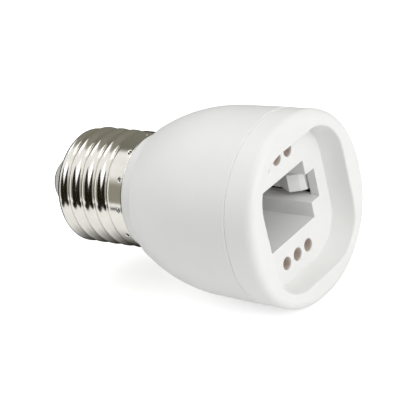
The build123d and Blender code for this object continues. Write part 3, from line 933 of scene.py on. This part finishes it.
def card_paint(
    name, colour, end_colour=None, soft_sides=0.0, soft_bottom=0.0, soft_top=0.0, one_sided=False
):
    """A dim card that fades out over shares of its width and height at its edges.

    end_colour is the card's colour at its last column, where it differs. A one-sided card is clear
    from behind.
    """
    material = bpy.data.materials.new(name)
    tree = blank_tree(material)
    where = add_node(tree, "ShaderNodeTexCoord").outputs["UV"]
    place = add_node(tree, "ShaderNodeSeparateXYZ", [(0, where)]).outputs
    mask = 1.0
    for along, edge, inside in (
        (place["X"], 0.0, soft_sides), (place["X"], 1.0, 1.0 - soft_sides),
        (place["Y"], 0.0, soft_bottom), (place["Y"], 1.0, 1.0 - soft_top),
    ):
        if edge != inside:
            fade = add_node(
                tree, "ShaderNodeMapRange",
                [("Value", along), ("From Min", edge), ("From Max", inside)],
                interpolation_type="SMOOTHSTEP",
            ).outputs[0]
            mask = math_node(tree, "MULTIPLY", mask, fade)
    if one_sided:
        behind = add_node(tree, "ShaderNodeNewGeometry").outputs["Backfacing"]
        mask = math_node(tree, "MULTIPLY", mask, math_node(tree, "SUBTRACT", 1.0, behind))
    if end_colour is None:
        end_colour = colour
    tint = add_node(
        tree, "ShaderNodeMix",
        [("Factor", place["X"]), ("A", (*colour, 1.0)), ("B", (*end_colour, 1.0))],
        data_type="RGBA",
    ).outputs["Result"]
    glow = add_node(tree, "ShaderNodeEmission", [("Color", tint), ("Strength", 1.0)])
    clear = add_node(tree, "ShaderNodeBsdfTransparent")
    both = add_node(
        tree, "ShaderNodeMixShader", [(0, mask), (1, clear.outputs[0]), (2, glow.outputs[0])]
    )
    add_node(tree, "ShaderNodeOutputMaterial", [("Surface", both.outputs[0])])
    return material


def hang_card(card, material, shades=False):
    """Shows a painted card to glossy rays alone, or lets it take away bounced light as well."""
    card.data.materials.append(material)
    card.visible_camera = False
    card.visible_diffuse = shades
    card.visible_transmission = False
    card.visible_volume_scatter = False
    card.visible_shadow = False


def area_light(name, place, size, power):
    """A square soft light that is aimed at the middle of the lamp seat."""
    lamp = bpy.data.lights.new(name, "AREA")
    lamp.shape = "SQUARE"
    lamp.size = size
    lamp.energy = power
    holder = bpy.data.objects.new(name, lamp)
    holder.location = place
    holder.rotation_euler = (-Vector(place)).to_track_quat("-Z", "Y").to_euler()
    bpy.context.scene.collection.objects.link(holder)
    return holder


class ADAPTER_OT_stage(bpy.types.Operator):
    """Sets up the floor, the lights, the reflection cards and the camera"""

    bl_idname = "adapter.stage"
    bl_label = "Make Stage"

    def execute(self, context):
        scene = context.scene
        studio = scene.adapter_studio
        scene.view_settings.view_transform = "Standard"
        self.make_world(scene, studio)
        self.make_floor(studio)
        self.make_cards(studio)
        area_light("key_light", studio.key_place, studio.key_size, studio.key_power)
        area_light("top_light", studio.top_place, studio.top_size, studio.top_power)
        side = area_light("side_light", studio.side_place, studio.side_size, studio.side_power)
        side.visible_glossy = False
        self.make_camera(scene, studio)
        return {"FINISHED"}

    def make_world(self, scene, studio):
        """A pale light that grows from the horizon up, with a white backdrop where it is seen."""
        scene.world = bpy.data.worlds.new("Studio")
        tree = blank_tree(scene.world)
        where = add_node(tree, "ShaderNodeTexCoord").outputs["Generated"]
        height = add_node(tree, "ShaderNodeSeparateXYZ", [(0, where)]).outputs["Z"]
        sky = add_node(
            tree, "ShaderNodeMapRange",
            [("Value", height), ("To Min", studio.horizon_light), ("To Max", studio.zenith_light)],
        ).outputs[0]
        light = add_node(tree, "ShaderNodeBackground", [("Color", WHITE), ("Strength", sky)])
        backdrop = add_node(tree, "ShaderNodeBackground", [("Color", WHITE), ("Strength", 1.0)])
        chosen = add_node(tree, "ShaderNodeMixShader", [
            (0, math_node(tree, "MAXIMUM", *ray_masks(tree))),
            (1, light.outputs[0]), (2, backdrop.outputs[0]),
        ])
        add_node(tree, "ShaderNodeOutputWorld", [("Surface", chosen.outputs[0])])

    def make_floor(self, studio):
        """A white floor just under the adapter, brought up to white where it is seen."""
        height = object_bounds()[0].z - studio.floor_gap
        half = studio.floor_half
        corners = ((-half, -half), (half, -half), (half, half), (-half, half))
        floor = mesh_piece("studio_floor", [(x, y, height) for x, y in corners], [(0, 1, 2, 3)])
        floor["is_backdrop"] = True
        material = bpy.data.materials.new("White floor")
        tree = blank_tree(material)
        white = studio.paper_white
        paper = add_node(tree, "ShaderNodeBsdfDiffuse", [("Color", (white, white, white, 1.0))])
        camera_rays, mirrored = ray_masks(tree)
        seen = math_node(
            tree, "MAXIMUM", camera_rays,
            math_node(tree, "MULTIPLY", mirrored, studio.mirrored_lift),
        )
        lift = add_node(tree, "ShaderNodeEmission", [
            ("Color", WHITE), ("Strength", math_node(tree, "MULTIPLY", seen, studio.floor_lift)),
        ])
        both = add_node(tree, "ShaderNodeAddShader", [(0, paper.outputs[0]), (1, lift.outputs[0])])
        add_node(tree, "ShaderNodeOutputMaterial", [("Surface", both.outputs[0])])
        floor.data.materials.append(material)

    def make_cards(self, studio):
        """Dark cards for the metal to mirror; the apron also takes away bounced light."""
        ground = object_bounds()[0].z - studio.floor_gap / 2
        hang_card(
            sky_card("dark_front_card", FRONT_SKYLINE, bottom=-3, distance=0.5),
            card_paint("Front card", studio.card_black, soft_sides=0.05, soft_top=0.10),
        )
        hang_card(
            sky_card("dim_left_card", LEFT_SKYLINE, bottom=-9, distance=0.45),
            card_paint(
                "Left card", studio.card_dim, soft_sides=0.25, soft_bottom=0.2, soft_top=0.35
            ),
        )
        hang_card(
            straight_card(
                "dark_apron_card", first=(-0.14, -0.60, ground), last=(0.38, -0.075, ground)
            ),
            card_paint(
                "Apron card", studio.card_black, soft_sides=0.06, soft_top=0.04, one_sided=True
            ),
            shades=True,
        )
        hang_card(
            straight_card("grey_back_card", first=(-2.2, 0.35, ground), last=(1.0, 0.35, 1.9)),
            card_paint("Back card", studio.back_dark, studio.back_pale, soft_top=0.6),
        )
        hang_card(
            # Painted shadow: seen only in the shell's reflections, this card darkens the floor
            # beneath and behind the adapter where its shadow falls
            straight_card(
                "floor_shadow_card", first=(-0.45, -0.024, ground), last=(-0.02, 0.35, ground)
            ),
            card_paint("Floor shadow card", studio.floor_shadow_black, soft_sides=0.02, soft_bottom=0.06),
        )

    def make_camera(self, scene, studio):
        """The photograph's viewing angle: place, view direction, up and focal length."""
        forward = Vector(studio.camera_forward).normalized()
        right = forward.cross(Vector(studio.camera_up).normalized()).normalized()
        turn = Matrix((right, right.cross(forward), -forward)).transposed()
        lens = bpy.data.cameras.new("camera")
        lens.sensor_width = studio.camera_sensor
        lens.lens = studio.camera_lens
        lens.clip_start, lens.clip_end = 0.05, 20.0
        camera = bpy.data.objects.new("camera", lens)
        camera.matrix_world = Matrix.Translation(studio.camera_place) @ turn.to_4x4()
        scene.collection.objects.link(camera)
        scene.camera = camera


class ADAPTER_PT_panel(bpy.types.Panel):
    """Lists the sizes, the colours, the studio and the steps"""

    bl_idname = "ADAPTER_PT_panel"
    bl_label = "Lamp Adapter"
    bl_space_type = "VIEW_3D"
    bl_region_type = "UI"
    bl_category = "Lamp Adapter"

    def draw(self, context):
        scene = context.scene
        for group in (scene.adapter_sizes, scene.adapter_colours, scene.adapter_studio):
            box = self.layout.box()
            for name in group.__annotations__:
                box.prop(group, name)
        for step in STEPS:
            self.layout.operator(step.bl_idname)


STEPS = (
    ADAPTER_OT_stage,
    ADAPTER_OT_screw_shell,
    ADAPTER_OT_springs,
    ADAPTER_OT_solder,
    ADAPTER_OT_mouldings,
    ADAPTER_OT_metalwork,
)
CLASSES = (AdapterSizes, AdapterColours, AdapterStudio, *STEPS, ADAPTER_PT_panel)


def register():
    for cls in CLASSES:
        bpy.utils.register_class(cls)
    bpy.types.Scene.adapter_sizes = PointerProperty(type=AdapterSizes)
    bpy.types.Scene.adapter_colours = PointerProperty(type=AdapterColours)
    bpy.types.Scene.adapter_studio = PointerProperty(type=AdapterStudio)


def unregister():
    del bpy.types.Scene.adapter_studio
    del bpy.types.Scene.adapter_colours
    del bpy.types.Scene.adapter_sizes
    for cls in reversed(CLASSES):
        bpy.utils.unregister_class(cls)


def main():
    """Builds the looks in order."""
    register()
    moulded_skin()
    drawn_metal()
    bpy.ops.adapter.stage()
    bpy.ops.adapter.screw_shell()
    bpy.ops.adapter.springs()
    bpy.ops.adapter.solder()
    bpy.ops.adapter.mouldings()
    bpy.ops.adapter.metalwork()


if __name__ == "__main__":
    main()
